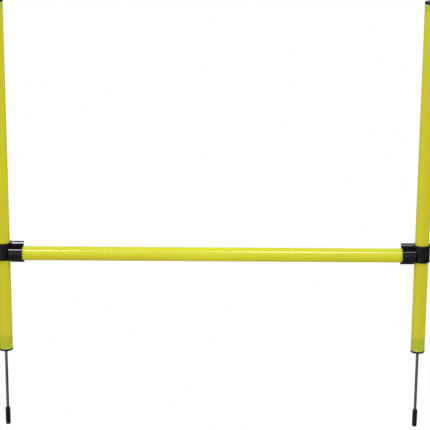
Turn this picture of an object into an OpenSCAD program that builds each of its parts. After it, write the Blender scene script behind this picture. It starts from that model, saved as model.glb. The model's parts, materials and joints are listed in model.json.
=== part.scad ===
// Agility hurdle: two tube uprights on ground spikes, with a crossbar held in two sliding clips.
// Units are millimetres. X runs along the crossbar, Y is depth (the bar leaves its clips to +Y), Z is up.
// The origin is on the lawn surface, midway between the uprights: z = 0 is the underside of the ground plugs.

/* [Hurdle] */
// Distance between the uprights' centre lines
span = 960; // [600:10:1400]
// Height of an upright, from the lawn to the top of its cap
upright_h = 825; // [500:5:1200]
// Height of the crossbar's centre line above the lawn
bar_z = 236; // [50:1:440]

/* [Tubes] */
// Outside diameter of the uprights and the crossbar
tube_d = 32; // [28:0.5:40]
// Wall thickness of the tubes
tube_wall = 2; // [1.5:0.1:3]
// Thickness of the flange of every end cap
flange_t = 4.5; // [2:0.5:5]
// Depth of a cap's skirt inside its tube
skirt_h = 16; // [12:1:30]
// Thickness of a skirt's wall behind its grip rings
skirt_wall = 1.6; // [1.2:0.1:2.4]

/* [Clips] */
// Wall thickness of the moulded clip
clip_wall = 3; // [2.4:0.1:3.6]
// Height of the ring that grips the upright
band_h = 40; // [34:1:50]
// How far the middle of that ring sits above the crossbar's centre line
band_rise = 7; // [4:0.5:10]
// Half of the opening angle at the back of the upright ring
mouth_half_deg = 52; // [40:1:60]
// Length of the crossbar cradle, measured from the upright's centre line
cradle_end = 45; // [40:0.5:60]
// Depth of the cradle's straight arms behind the crossbar's centre line
arm_depth = 5; // [4:0.5:14]
// Angle through which a lip turns outwards
lip_sweep_deg = 50; // [40:5:70]
// Bend radius of the lips, at the middle of the wall
lip_bend_r = 5; // [4:0.5:8]
// Length of a cradle lip behind its bend
lip_l = 5.2; // [3:0.2:8]
// Height by which the two edge beads of the upright ring stand out
bead_h = 0.6; // [0.3:0.1:1]

/* [Ground spikes] */
// Diameter of the steel rod
rod_d = 6.5; // [5:0.5:8]
// Bare rod between the ground plug and the tip cover
rod_bare = 146; // [80:1:250]
// Length of rod seated inside the ground plug
rod_seat = 38; // [25:1:45]
// Outside diameter of the tip cover
cover_d = 11.5; // [11:0.5:16]
// Length of the tip cover
cover_l = 44; // [40:1:70]

/* [Hidden] */
$fn = 96;

tube_r = tube_d / 2;
tube_in_r = tube_r - tube_wall;
tube_low = flange_t;
tube_high = upright_h - flange_t;
edge_chamfer = 0.5;
rim_r = tube_r + 0.4;

// Running clearance of parts that slide on each other, and the play of the crossbar in its cradle
run_gap = 0.08;
bar_gap = 0.3;
end_gap = 0.8;

// Skirt: a thin sleeve with three grip rings that touch the tube
grip_ring_h = 1.6;
grip_ring_count = 3;
sleeve_r = tube_in_r - 0.6;
ring_pitch = (skirt_h - grip_ring_h) / grip_ring_count;

// Ground plug
rod_r = rod_d / 2;
hub_r = rod_r + 4;
collar_r = rod_r + 1.3;
collar_h = 5;
web_t = 2;
web_count = 4;

// Ground rod and its tip cover
rod_point_l = 14;
rod_point_r = 0.4;
cover_r = cover_d / 2;
cover_high = -rod_bare;
cover_low = cover_high - cover_l;
cover_floor = 6;
cover_cone_h = 4;
cover_mouth_r = rod_r + 1.1;
cover_round = 2.5;
rod_low = cover_low + cover_floor + 0.6;

// Clip
grip_r = tube_r + run_gap;
band_r = grip_r + clip_wall;
band_low = band_rise - band_h / 2;
bead_w = 2;
bore_r = tube_r + bar_gap;
cradle_r = bore_r + clip_wall;
wall_in = tube_r - 1.9;
wall_out = band_r + 1;
cradle_l = cradle_end - wall_out;
wall_back_y = arm_depth - 1;
arm_from = tube_r + 0.3;
arm_over = 2;
arm_l = cradle_end + arm_over - arm_from;
lip_wall = clip_wall - 0.4;
lip_edge_r = clip_wall / 2 + 0.5;
lip_root = 1;
band_lip_bend_r = 6.5;
band_lip_wall = clip_wall - 0.6;
band_lip_edge_r = clip_wall / 2 + 0.2;
band_lip_inset = 1;
band_lip_root_deg = 6;
band_lip_sweep = 110;

// Crossbar
bar_end = span / 2 - wall_out - end_gap;
bar_tube_end = bar_end - flange_t;

// Colours
tube_yellow = [0.80, 0.79, 0.20];
bar_yellow = [0.84, 0.84, 0.22];
gloss_black = [0.06, 0.06, 0.07];
satin_black = [0.09, 0.09, 0.10];
steel_grey = [0.46, 0.47, 0.46];

// ---- shared shapes ----

// Puts a shape at the left (-1) or right (+1) upright. Shapes are drawn for the left one.
module at_side(side) {
    if (side < 0) {
        translate([-span / 2, 0, 0]) children();
    } else {
        mirror([1, 0, 0]) translate([-span / 2, 0, 0]) children();
    }
}

// A plain tube along +Z.
module tube(length) {
    difference() {
        cylinder(h = length, r = tube_r);
        translate([0, 0, -1]) cylinder(h = length + 2, r = tube_in_r);
    }
}

// Flange and hollow skirt of a tube cap. The flange's underside is z = 0 and the skirt hangs below it.
module cap_body(flange_r) {
    rotate_extrude() polygon([
        [0, 0],
        [sleeve_r - skirt_wall, 0],
        [sleeve_r - skirt_wall, -skirt_h],
        [sleeve_r, -skirt_h],
        [sleeve_r, 0],
        [flange_r, 0],
        [flange_r, flange_t - edge_chamfer],
        [flange_r - edge_chamfer, flange_t],
        [0, flange_t]
    ]);
    for (i = [0 : grip_ring_count - 1]) {
        translate([0, 0, -ring_pitch * i - ring_pitch]) grip_ring();
    }
}

// One ring of a skirt, with a lead-in on its inner end.
module grip_ring() {
    rotate_extrude() polygon([
        [sleeve_r - 0.4, 0],
        [sleeve_r, 0],
        [tube_in_r, 0.8],
        [tube_in_r, grip_ring_h],
        [sleeve_r - 0.4, grip_ring_h]
    ]);
}

// ---- uprights ----

module upright_tube() {
    translate([0, 0, tube_low]) tube(tube_high - tube_low);
}

module top_cap() {
    translate([0, 0, tube_high]) cap_body(rim_r);
}

// Bottom plug: the same cap upside down, with a hub, webs and a collar for the rod.
module ground_plug() {
    difference() {
        union() {
            translate([0, 0, tube_low]) mirror([0, 0, 1]) cap_body(rim_r);
            translate([0, 0, tube_low - 1]) cylinder(h = rod_seat - tube_low + 1, r = hub_r);
            for (i = [0 : web_count - 1]) {
                rotate([0, 0, 45 + i * 360 / web_count])
                    translate([hub_r - 1, -web_t / 2, tube_low - 1])
                        cube([sleeve_r - skirt_wall - hub_r + 1.5, web_t, skirt_h]);
            }
            rotate_extrude() polygon([
                [0, 0.5],
                [collar_r + 0.5, 0.5],
                [collar_r, -collar_h + 1],
                [collar_r - 0.6, -collar_h],
                [0, -collar_h]
            ]);
        }
        translate([0, 0, -collar_h - 1]) cylinder(h = rod_seat + collar_h + 2, r = rod_r);
    }
}

// ---- ground spikes ----

module ground_rod() {
    rotate_extrude() polygon([
        [0, rod_low],
        [rod_point_r, rod_low],
        [rod_r, rod_low + rod_point_l],
        [rod_r, rod_seat - 0.5],
        [rod_r - 0.5, rod_seat],
        [0, rod_seat]
    ]);
}

module tip_cover() {
    difference() {
        rotate_extrude() polygon([
            [0, cover_low],
            [cover_r - cover_round - 0.3, cover_low],
            [cover_r - 0.9, cover_low + 1],
            [cover_r - 0.3, cover_low + cover_round + 0.5],
            [cover_r, cover_low + 12],
            [cover_r, cover_high - cover_cone_h],
            [cover_mouth_r, cover_high],
            [0, cover_high]
        ]);
        translate([0, 0, cover_low + cover_floor]) cylinder(h = cover_l, r = rod_r + run_gap);
    }
}

// ---- clip: one moulding, drawn with the upright's axis at the origin and the crossbar towards +X ----

// Ring round the upright, open at the back, with a bead along both edges.
module band() {
    rotate_extrude(angle = 360 - 2 * mouth_half_deg, start = 90 + mouth_half_deg) polygon([
        [grip_r, band_low],
        [band_r + bead_h, band_low],
        [band_r + bead_h, band_low + bead_w],
        [band_r, band_low + bead_w + bead_h],
        [band_r, band_low + band_h - bead_w - bead_h],
        [band_r + bead_h, band_low + band_h - bead_w],
        [band_r + bead_h, band_low + band_h],
        [grip_r, band_low + band_h]
    ]);
}

// Lip on the free jaw of the upright ring: it starts inside the jaw, turns outwards and ends in a round edge.
module band_lip() {
    lip_h = band_h - 2 * band_lip_inset;
    rotate([0, 0, 90 + mouth_half_deg])
        translate([grip_r + clip_wall / 2 + band_lip_bend_r, 0, band_low + band_lip_inset]) {
            rotate_extrude(angle = band_lip_sweep + band_lip_root_deg, start = 180 - band_lip_root_deg)
                translate([band_lip_bend_r - band_lip_wall / 2, 0]) square([band_lip_wall, lip_h]);
            rotate([0, 0, 180 + band_lip_sweep]) translate([band_lip_bend_r, 0, 0])
                cylinder(h = lip_h, r = band_lip_edge_r);
        }
}

// One arm of the crossbar cradle for the top (side = 1) or the bottom (side = -1): a straight arm,
// a bend outwards, and a flat lip that starts inside the bend and ends in a round edge.
module cradle_arm(side) {
    mirror([0, 0, side < 0 ? 1 : 0]) translate([arm_from, 0, 0]) {
        translate([0, -0.2, bore_r]) cube([arm_l, arm_depth + 0.2, clip_wall]);
        translate([0, arm_depth, bore_r + clip_wall / 2 + lip_bend_r]) {
            rotate([90, 0, 90]) rotate_extrude(angle = lip_sweep_deg, start = -90)
                translate([lip_bend_r - clip_wall / 2, 0]) square([clip_wall, arm_l]);
            rotate([lip_sweep_deg, 0, 0]) {
                translate([0, -lip_root, -lip_bend_r - lip_wall / 2])
                    cube([arm_l, lip_root + lip_l, lip_wall]);
                translate([0, lip_l, -lip_bend_r]) rotate([0, 90, 0]) cylinder(h = arm_l, r = lip_edge_r);
            }
        }
    }
}

// Closed front half of the cradle round the crossbar.
module cradle_front() {
    translate([wall_out, 0, 0]) rotate([90, 0, 90])
        rotate_extrude(angle = 180, start = 90)
            translate([bore_r, 0]) square([clip_wall, cradle_l]);
}

// Wall between the upright ring and the cradle. Its cut for the upright ends inside the ring's own wall.
module end_wall() {
    difference() {
        intersection() {
            translate([wall_in, 0, 0]) rotate([0, 90, 0]) cylinder(h = wall_out - wall_in, r = cradle_r);
            translate([wall_in - 1, -cradle_r - 1, -cradle_r - 1])
                cube([wall_out - wall_in + 2, cradle_r + 1 + wall_back_y, 2 * cradle_r + 2]);
        }
        translate([0, 0, -cradle_r - 1]) cylinder(h = 2 * cradle_r + 2, r = grip_r + clip_wall / 2);
    }
}

module clip() {
    translate([0, 0, bar_z]) {
        band();
        band_lip();
        end_wall();
        cradle_front();
        cradle_arm(1);
        cradle_arm(-1);
    }
}

// ---- crossbar ----

module bar_tube() {
    translate([-bar_tube_end, 0, bar_z]) rotate([0, 90, 0]) tube(2 * bar_tube_end);
}

module bar_cap() {
    translate([-bar_tube_end, 0, bar_z]) rotate([0, -90, 0]) cap_body(tube_r);
}

// ---- nodes ----

module left_upright_tube() {
    color(tube_yellow) at_side(-1) upright_tube();
}

module right_upright_tube() {
    color(tube_yellow) at_side(1) upright_tube();
}

module left_top_cap() {
    color(satin_black) at_side(-1) top_cap();
}

module right_top_cap() {
    color(satin_black) at_side(1) top_cap();
}

module left_ground_plug() {
    color(satin_black) at_side(-1) ground_plug();
}

module right_ground_plug() {
    color(satin_black) at_side(1) ground_plug();
}

module left_ground_rod() {
    color(steel_grey) at_side(-1) ground_rod();
}

module right_ground_rod() {
    color(steel_grey) at_side(1) ground_rod();
}

module left_tip_cover() {
    color(satin_black) at_side(-1) tip_cover();
}

module right_tip_cover() {
    color(satin_black) at_side(1) tip_cover();
}

module left_clip() {
    color(gloss_black) at_side(-1) clip();
}

module right_clip() {
    color(gloss_black) at_side(1) clip();
}

module crossbar_tube() {
    color(bar_yellow) bar_tube();
}

module crossbar_left_cap() {
    color(satin_black) bar_cap();
}

module crossbar_right_cap() {
    color(satin_black) mirror([1, 0, 0]) bar_cap();
}

left_upright_tube();
right_upright_tube();
left_top_cap();
right_top_cap();
left_ground_plug();
right_ground_plug();
left_ground_rod();
right_ground_rod();
left_tip_cover();
right_tip_cover();
left_clip();
right_clip();
crossbar_tube();
crossbar_left_cap();
crossbar_right_cap();
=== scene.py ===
"""Looks of the agility hurdle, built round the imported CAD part: camera, light, floor and materials."""

import json
import math

import bpy
from mathutils import Matrix, Vector


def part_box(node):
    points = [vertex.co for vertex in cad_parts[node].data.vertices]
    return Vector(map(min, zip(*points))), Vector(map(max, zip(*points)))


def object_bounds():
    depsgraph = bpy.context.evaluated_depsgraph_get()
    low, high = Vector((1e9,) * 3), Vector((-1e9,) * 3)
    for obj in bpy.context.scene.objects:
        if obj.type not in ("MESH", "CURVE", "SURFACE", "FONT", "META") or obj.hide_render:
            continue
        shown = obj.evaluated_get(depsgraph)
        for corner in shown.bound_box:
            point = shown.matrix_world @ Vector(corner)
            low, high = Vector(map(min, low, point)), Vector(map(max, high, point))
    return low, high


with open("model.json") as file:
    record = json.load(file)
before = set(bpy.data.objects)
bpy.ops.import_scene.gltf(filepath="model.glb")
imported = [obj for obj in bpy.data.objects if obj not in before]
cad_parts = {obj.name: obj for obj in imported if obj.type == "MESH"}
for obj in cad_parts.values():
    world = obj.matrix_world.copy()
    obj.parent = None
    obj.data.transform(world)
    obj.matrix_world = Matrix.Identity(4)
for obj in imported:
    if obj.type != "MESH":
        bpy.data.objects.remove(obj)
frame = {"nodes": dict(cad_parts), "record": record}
cad_low, cad_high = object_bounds()
scene = bpy.context.scene
nodes = frame["nodes"]

# ---- camera ----
# A product view: square on to the hurdle, looking down at it through a long lens held a little off level.
BAR_Z = sum(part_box("crossbar_tube")[i].z for i in (0, 1)) / 2
LENS_MM = 150.7
SENSOR_MM = 36
CAMERA_X = 0.0056
CAMERA_Y = -3.9113
CAMERA_ABOVE_BAR = 1.329
PITCH_DEG = 17.515
ROLL_DEG = 0.36
VIEW_LIMIT = 50

camera_data = bpy.data.cameras.new("camera")
camera_data.sensor_width = SENSOR_MM
camera_data.lens = LENS_MM
camera_data.clip_end = VIEW_LIMIT
camera = bpy.data.objects.new("camera", camera_data)
camera.location = (CAMERA_X, CAMERA_Y, BAR_Z + CAMERA_ABOVE_BAR)
tilt = Matrix.Rotation(math.radians(90 - PITCH_DEG), 3, "X")
roll = Matrix.Rotation(math.radians(ROLL_DEG), 3, "Z")
camera.rotation_euler = (tilt @ roll).to_euler()
scene.collection.objects.link(camera)
scene.camera = camera

# ---- world, floor and light ----
scene.view_settings.view_transform = "Standard"

# Directions are unit vectors: -1 is straight down, left or towards the camera, 1 is up, right or to the rear.
AMBIENT_BELOW = (0.70, 0.58, 0.25, 1)
AMBIENT_ABOVE = (1.24, 1.33, 1.55, 1)
# Brightness of the studio in reflections: (height of the direction, level).
FRONT_GLOSS = (
    (-1.0, 0.22), (-0.30, 0.30), (0.0, 0.42), (0.30, 0.66), (0.62, 0.60), (0.78, 0.12), (0.93, 0.03),
)
REAR_GLOSS = (
    (-1.0, 0.14), (-0.25, 0.10), (0.0, 0.30), (0.22, 0.58), (0.38, 0.50), (0.55, 0.03), (1.0, 0.02),
)
REAR_FROM = 0.25
FRONT_FROM = -0.45
SIDE_FROM = 0.45
LEFT_STRENGTH = 1.25
RIGHT_STRENGTH = 0.50


def socket(sockets, identifier):
    return next(s for s in sockets if s.identifier == identifier)


def mix_colors(tree, factor, a, b):
    """Colour a where factor is 0, b where it is 1; each may be a fixed value or another node's output."""
    node = tree.nodes.new("ShaderNodeMix")
    node.data_type = "RGBA"
    for key, value in (("Factor_Float", factor), ("A_Color", a), ("B_Color", b)):
        target = socket(node.inputs, key)
        if isinstance(value, bpy.types.NodeSocket):
            tree.links.new(value, target)
        else:
            target.default_value = value
    return socket(node.outputs, "Result_Color")


def gloss_ramp(tree, height, stops):
    """Brightness by the height of a direction, from straight down (-1) to straight up (1)."""
    spread = tree.nodes.new("ShaderNodeMapRange")
    spread.inputs["From Min"].default_value = -1.0
    tree.links.new(height, spread.inputs["Value"])
    ramp = tree.nodes.new("ShaderNodeValToRGB")
    band = ramp.color_ramp
    while len(band.elements) < len(stops):
        band.elements.new(0.5)
    for element, (where, level) in zip(band.elements, stops):
        element.position = (where + 1) / 2
        element.color = (level, level, level, 1)
    tree.links.new(spread.outputs[0], ramp.inputs["Fac"])
    return ramp.outputs["Color"]


def build_world():
    """White to the camera, an even soft light on surfaces, and a graded studio in reflections."""
    world = bpy.data.worlds.new("studio")
    scene.world = world
    world.use_nodes = True
    tree = world.node_tree
    tree.nodes.clear()
    new, link = tree.nodes.new, tree.links.new
    direction = new("ShaderNodeSeparateXYZ")
    link(new("ShaderNodeTexCoord").outputs["Generated"], direction.inputs[0])
    facing = new("ShaderNodeMapRange")
    for key, value in (("From Min", REAR_FROM), ("From Max", FRONT_FROM)):
        facing.inputs[key].default_value = value
    link(direction.outputs["Y"], facing.inputs["Value"])
    side = new("ShaderNodeMapRange")
    from_left_to_right = {
        "From Min": -SIDE_FROM, "From Max": SIDE_FROM, "To Min": LEFT_STRENGTH, "To Max": RIGHT_STRENGTH,
    }
    for key, value in from_left_to_right.items():
        side.inputs[key].default_value = value
    link(direction.outputs["X"], side.inputs["Value"])
    rise = new("ShaderNodeMapRange")
    rise.inputs["From Min"].default_value = -1.0
    link(direction.outputs["Z"], rise.inputs["Value"])
    ambient = mix_colors(tree, rise.outputs[0], AMBIENT_BELOW, AMBIENT_ABOVE)
    rear = gloss_ramp(tree, direction.outputs["Z"], REAR_GLOSS)
    front = gloss_ramp(tree, direction.outputs["Z"], FRONT_GLOSS)
    graded = mix_colors(tree, facing.outputs[0], rear, front)
    white, lighting, reflected = (new("ShaderNodeBackground") for _ in range(3))
    white.inputs["Color"].default_value = (1, 1, 1, 1)
    link(ambient, lighting.inputs["Color"])
    link(graded, reflected.inputs["Color"])
    link(side.outputs[0], reflected.inputs["Strength"])
    path = new("ShaderNodeLightPath")
    unseen = new("ShaderNodeMixShader")
    link(path.outputs["Is Glossy Ray"], unseen.inputs["Fac"])
    link(lighting.outputs[0], unseen.inputs[1])
    link(reflected.outputs[0], unseen.inputs[2])
    seen = new("ShaderNodeMixShader")
    link(path.outputs["Is Camera Ray"], seen.inputs["Fac"])
    link(unseen.outputs[0], seen.inputs[1])
    link(white.outputs[0], seen.inputs[2])
    link(seen.outputs[0], new("ShaderNodeOutputWorld").inputs["Surface"])


def soft_box(name, elevation, distance, span, height, power, color, reflected):
    """A soft box in front of the bar and above it, span (x0, x1) wide, that either lights or is reflected."""
    data = bpy.data.lights.new(name, "AREA")
    data.shape = "RECTANGLE"
    data.size = span[1] - span[0]
    data.size_y = height
    data.energy = power
    data.color = color
    light = bpy.data.objects.new(name, data)
    angle = math.radians(elevation)
    away = Vector((0, -math.cos(angle), math.sin(angle))) * distance
    light.location = Vector((sum(span) / 2, 0, BAR_Z)) + away
    light.rotation_euler = (-away).to_track_quat("-Z", "Y").to_euler()
    light.visible_glossy = reflected
    light.visible_diffuse = not reflected
    light.visible_camera = False
    scene.collection.objects.link(light)


SIDE_FILL_WIDTH = 0.30
SIDE_FILL_HEIGHT = 1.0
SIDE_FILL_WATTS = 0.20
SIDE_FILL_Y = -0.12
SIDE_FILL_ABOVE_BAR = 0.18


def side_fill(facing):
    """A faint upright panel in the middle that lights the inner side of one upright."""
    data = bpy.data.lights.new("side_fill", "AREA")
    data.shape = "RECTANGLE"
    data.size, data.size_y = SIDE_FILL_WIDTH, SIDE_FILL_HEIGHT
    data.energy = SIDE_FILL_WATTS
    light = bpy.data.objects.new("side_fill", data)
    light.location = (0, SIDE_FILL_Y, BAR_Z + SIDE_FILL_ABOVE_BAR)
    light.rotation_euler = (math.radians(90), 0, math.radians(-90 * facing))
    light.visible_glossy = False
    light.visible_camera = False
    scene.collection.objects.link(light)


# The floor lies low enough for a tip cover to be pulled off its rod above it.
JOINTS = {joint["name"]: joint for joint in frame["record"]["behaviour"]["joints"]}
COVER_PULL = JOINTS["left_tip_cover_pull"]["range_m"][1]
FLOOR_GAP = 0.005
FLOOR_Z = cad_low[2] - COVER_PULL - FLOOR_GAP
FLOOR_HALF = 12


def build_floor():
    """A plain floor that only glows, at exactly white: any brighter and it would thin what stands before it.
    Its share of the light is already in the world's."""
    mesh = bpy.data.meshes.new("floor")
    corners = [(-1, -1), (1, -1), (1, 1), (-1, 1)]
    mesh.from_pydata([(x * FLOOR_HALF, y * FLOOR_HALF, FLOOR_Z) for x, y in corners], [], [(0, 1, 2, 3)])
    floor = bpy.data.objects.new("floor", mesh)
    scene.collection.objects.link(floor)
    material = bpy.data.materials.new("floor_white")
    material.use_nodes = True
    shader = material.node_tree.nodes["Principled BSDF"]
    shader.inputs["Base Color"].default_value = (0, 0, 0, 1)
    shader.inputs["Specular IOR Level"].default_value = 0
    shader.inputs["Emission Color"].default_value = (1, 1, 1, 1)
    shader.inputs["Emission Strength"].default_value = 1.0
    mesh.materials.append(material)
    floor.visible_diffuse = False
    floor.visible_glossy = False
    floor.visible_shadow = False


STRIP_DISTANCE = 3.0
STRIP_ELEVATION = 63
STRIP_HEIGHT = 0.56
STRIP_COLOR = (0.80, 0.81, 1.0)
# Name, span (x0, x1) and share of the full strength.
STRIPS = (
    ("strip_left", (-1.10, -0.53), 1.0),
    ("strip_middle", (0.07, 0.65), 1.0),
    ("strip_right", (0.65, 1.25), 0.25),
)
STRIP_WATTS_PER_M2 = 62
KEY_ELEVATION = 72
KEY_DISTANCE = 3.0
KEY_SPAN = (-1.6, 1.6)
KEY_HEIGHT = 0.9
KEY_WATTS = 17
KEY_COLOR = (0.92, 1.0, 1.0)

build_world()
build_floor()
soft_box("key", KEY_ELEVATION, KEY_DISTANCE, KEY_SPAN, KEY_HEIGHT, KEY_WATTS, KEY_COLOR, reflected=False)
for facing in (-1, 1):
    side_fill(facing)
for strip_name, strip_span, strength in STRIPS:
    strip_power = STRIP_WATTS_PER_M2 * strength * (strip_span[1] - strip_span[0]) * STRIP_HEIGHT
    soft_box(
        strip_name, STRIP_ELEVATION, STRIP_DISTANCE, strip_span, STRIP_HEIGHT, strip_power, STRIP_COLOR,
        reflected=True)


# ---- materials ----
class Nodes:
    """Short calls for building one material's node tree."""

    def __init__(self, name):
        self.material = bpy.data.materials.new(name)
        self.material.use_nodes = True
        self.tree = self.material.node_tree
        self.shader = self.tree.nodes["Principled BSDF"]
        coords = self.tree.nodes.new("ShaderNodeTexCoord")
        self.position = coords.outputs["Object"]

    def link(self, source, target):
        self.tree.links.new(source, target)

    def add(self, kind, inputs=None, **settings):
        node = self.tree.nodes.new(kind)
        for key, value in settings.items():
            setattr(node, key, value)
        for key, value in (inputs or {}).items():
            if isinstance(value, bpy.types.NodeSocket):
                self.link(value, node.inputs[key])
            else:
                node.inputs[key].default_value = value
        return node

    def drawn_out(self, axis, across, along):
        """The position in cycles per metre, few of them along one axis, so that noise on it runs lengthwise."""
        scale = [across] * 3
        scale[axis] = along
        return self.add("ShaderNodeMapping", {"Vector": self.position, "Scale": scale}).outputs[0]

    def noise(self, vector, scale, detail=3.0, roughness=0.5):
        inputs = {"Vector": vector, "Scale": scale, "Detail": detail, "Roughness": roughness}
        return self.add("ShaderNodeTexNoise", inputs).outputs["Fac"]

    def ramp(self, value, low, high, to_low=0.0, to_high=1.0):
        inputs = {"Value": value, "From Min": low, "From Max": high, "To Min": to_low, "To Max": to_high}
        return self.add("ShaderNodeMapRange", inputs).outputs[0]

    def mix(self, factor, a, b):
        return mix_colors(self.tree, factor, a, b)

    def math(self, operation, a, b):
        return self.add("ShaderNodeMath", {0: a, 1: b}, operation=operation).outputs[0]

    def end_mask(self, place, edge, reach, strength):
        """Strength from the tube's edge to reach, fading out softly beyond it."""
        fade = abs(reach - edge) * END_SOFTNESS
        start, stop = (reach - fade, reach + fade) if reach > edge else (reach + fade, reach - fade)
        inputs = {"Value": place, "From Min": start, "From Max": stop, "To Min": strength, "To Max": 0.0}
        return self.add("ShaderNodeMapRange", inputs, interpolation_type="SMOOTHSTEP").outputs[0]

    def bump(self, height, strength, distance, normal=None):
        inputs = {"Height": height, "Strength": strength, "Distance": distance}
        if normal is not None:
            inputs["Normal"] = normal
        return self.add("ShaderNodeBump", inputs).outputs[0]

    def set(self, **values):
        """Shader inputs: numbers are set on the socket itself, node outputs are linked to it."""
        for key, value in values.items():
            target = self.shader.inputs[key.replace("_", " ")]
            if isinstance(value, bpy.types.NodeSocket):
                self.link(value, target)
            else:
                target.default_value = value


PLASTIC_IOR = 1.50
# Painted shade: a darker green over the tube where the black cap sits inside, standing in for the cap darkening
# the translucent wall.
CAP_PAINTED_SHADE = (0.40, 0.455, 0.018, 1)
CAP_PAINTED_SHADE_AMOUNT = 0.9
# Painted glow: a pale line a few millimetres long at each cut end of a tube, standing in for light caught at
# the end.
END_PAINTED_GLOW = (0.47, 0.56, 0.10, 1)
END_PAINTED_GLOW_AMOUNT = 0.8
END_SOFTNESS = 0.22
PAINTED_GLOW_LENGTH = 0.0028
SCUFF_COLOR = (0.72, 0.72, 0.36, 1)
SCUFF_AMOUNT = 0.14
SCUFF_ROUGHNESS = 0.07


def tube_plastic(name, along, ends, body, green, warm):
    """Extruded fluorescent plastic, a little translucent: fine draw lines along the tube, cloudy colour, a few
    handling scuffs, painted shade (a darker green) where a black cap sits inside, and a painted glow (a pale
    line) at the cut end."""
    n = Nodes(name)
    streaks = n.noise(n.drawn_out(along, 140.0, 1.2), 1.0, detail=4.0, roughness=0.6)
    clouds = n.noise(n.position, 9.0, detail=2.0)
    scuffs = n.noise(n.drawn_out(along, 60.0, 14.0), 1.0, detail=6.0, roughness=0.72)
    scuffs = n.ramp(scuffs, 0.60, 0.74)
    colour = n.mix(n.ramp(clouds, 0.35, 0.65), body, green)
    colour = n.mix(n.ramp(streaks, 0.38, 0.68, to_high=0.8), colour, warm)
    colour = n.mix(n.math("MULTIPLY", scuffs, SCUFF_AMOUNT), colour, SCUFF_COLOR)
    place = n.add("ShaderNodeSeparateXYZ", {0: n.position}).outputs[along]
    for edge, reach in ends:
        # Painted shade: the tube darkens over the length its black cap reaches inside.
        colour = n.mix(n.end_mask(place, edge, reach, CAP_PAINTED_SHADE_AMOUNT), colour, CAP_PAINTED_SHADE)
        # Painted glow: a pale line in the last few millimetres at the cut end.
        painted_glow_reach = edge + math.copysign(PAINTED_GLOW_LENGTH, reach - edge)
        colour = n.mix(n.end_mask(place, edge, painted_glow_reach, END_PAINTED_GLOW_AMOUNT), colour, END_PAINTED_GLOW)
    hairs = n.noise(n.drawn_out(along, 1100.0, 6.0), 1.0, detail=3.0, roughness=0.55)
    colour = n.mix(n.ramp(hairs, 0.5, 0.8, to_high=0.35), colour, warm)
    rough = n.ramp(hairs, 0.3, 0.7, to_low=0.165, to_high=0.20)
    rough = n.math("ADD", rough, n.math("MULTIPLY", scuffs, SCUFF_ROUGHNESS))
    normal = n.bump(streaks, strength=0.09, distance=0.0004)
    normal = n.bump(hairs, strength=0.05, distance=0.0001, normal=normal)
    normal = n.bump(scuffs, strength=0.05, distance=0.0002, normal=normal)
    n.set(Base_Color=colour, Roughness=rough, Normal=normal, IOR=PLASTIC_IOR)
    return n.material


DUST_COLOR = (0.20, 0.20, 0.19, 1)
DUST_AMOUNT = 0.02


def moulded_plastic(name, colour, pale, rough_low, rough_high, grain, depth):
    """Injection-moulded black plastic: fine grain, faint flow marks and a little dust."""
    n = Nodes(name)
    flow = n.noise(n.position, 60.0, detail=4.0, roughness=0.6)
    dust = n.ramp(n.noise(n.position, 900.0, detail=5.0, roughness=0.7), 0.60, 0.80)
    fine = n.noise(n.position, grain, detail=3.0, roughness=0.6)
    base = n.mix(n.ramp(flow, 0.35, 0.7, to_high=0.6), colour, pale)
    base = n.mix(n.math("MULTIPLY", dust, DUST_AMOUNT), base, DUST_COLOR)
    rough = n.ramp(flow, 0.3, 0.7, to_low=rough_low, to_high=rough_high)
    normal = n.bump(fine, strength=depth, distance=0.0002)
    n.set(Base_Color=base, Roughness=rough, Normal=normal, IOR=PLASTIC_IOR)
    return n.material


STEEL_DARK = (0.22, 0.225, 0.215, 1)
STEEL_PALE = (0.36, 0.365, 0.35, 1)
STEEL_STAIN = (0.12, 0.12, 0.11, 1)


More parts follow.
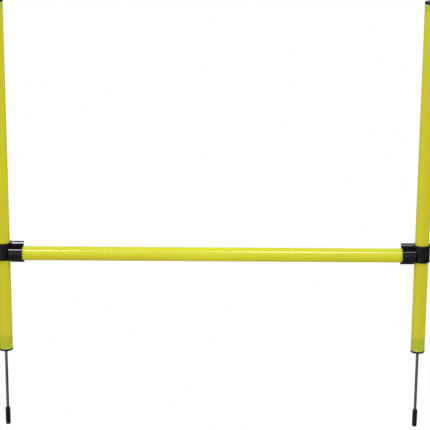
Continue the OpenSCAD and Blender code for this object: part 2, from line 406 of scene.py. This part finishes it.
def drawn_steel(name):
    """Plain drawn steel rod: lengthwise draw lines, dull zinc patches and a trace of dark staining."""
    n = Nodes(name)
    lines = n.noise(n.drawn_out(2, 900.0, 14.0), 1.0, detail=4.0, roughness=0.6)
    patches = n.noise(n.position, 120.0, detail=4.0, roughness=0.6)
    colour = n.mix(n.ramp(patches, 0.35, 0.68), STEEL_DARK, STEEL_PALE)
    colour = n.mix(n.ramp(lines, 0.45, 0.8, to_high=0.5), colour, STEEL_STAIN)
    rough = n.ramp(patches, 0.3, 0.7, to_low=0.30, to_high=0.48)
    normal = n.bump(lines, strength=0.15, distance=0.0002)
    n.set(Base_Color=colour, Roughness=rough, Metallic=1.0, Normal=normal)
    return n.material


def cap_ends(tube, first, last, along):
    """Both ends of a tube, each with how far the cap in it reaches: (edge, reach) along the tube."""
    low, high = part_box(tube)
    return (low[along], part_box(first)[1][along]), (high[along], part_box(last)[0][along])


UPRIGHT_ENDS = cap_ends("left_upright_tube", "left_ground_plug", "left_top_cap", 2)
CROSSBAR_ENDS = cap_ends("crossbar_tube", "crossbar_left_cap", "crossbar_right_cap", 0)
LOOKS = {
    # The uprights' yellows are set darker than the crossbar's, though both are the same plastic: painted shade
    # on the uprights, whose upright sides catch less of the overhead light.
    "upright_plastic": tube_plastic(
        "upright_yellow_painted_shade", 2, UPRIGHT_ENDS,
        body=(0.575, 0.545, 0.016, 1), green=(0.565, 0.575, 0.016, 1), warm=(0.575, 0.495, 0.021, 1)),
    "crossbar_plastic": tube_plastic(
        "crossbar_yellow", 0, CROSSBAR_ENDS,
        body=(0.615, 0.605, 0.019, 1), green=(0.60, 0.63, 0.019, 1), warm=(0.622, 0.555, 0.024, 1)),
    "clip_plastic": moulded_plastic(
        "clip_black", colour=(0.0022, 0.0022, 0.0025, 1), pale=(0.0042, 0.0042, 0.0046, 1),
        rough_low=0.08, rough_high=0.12, grain=700.0, depth=0.06),
    "cap_plastic": moulded_plastic(
        "cap_black", colour=(0.003, 0.003, 0.0033, 1), pale=(0.006, 0.006, 0.0064, 1),
        rough_low=0.26, rough_high=0.36, grain=1100.0, depth=0.16),
    "cover_plastic": moulded_plastic(
        "cover_black", colour=(0.002, 0.002, 0.0023, 1), pale=(0.005, 0.005, 0.0053, 1),
        rough_low=0.24, rough_high=0.34, grain=1100.0, depth=0.14),
    "rod_steel": drawn_steel("rod_steel"),
}
SLOT_OF = {s["node"]: s["material_slot"] for s in frame["record"]["subparts"]}

for name, node in nodes.items():
    node.data.materials.clear()
    node.data.materials.append(LOOKS[SLOT_OF[name]])
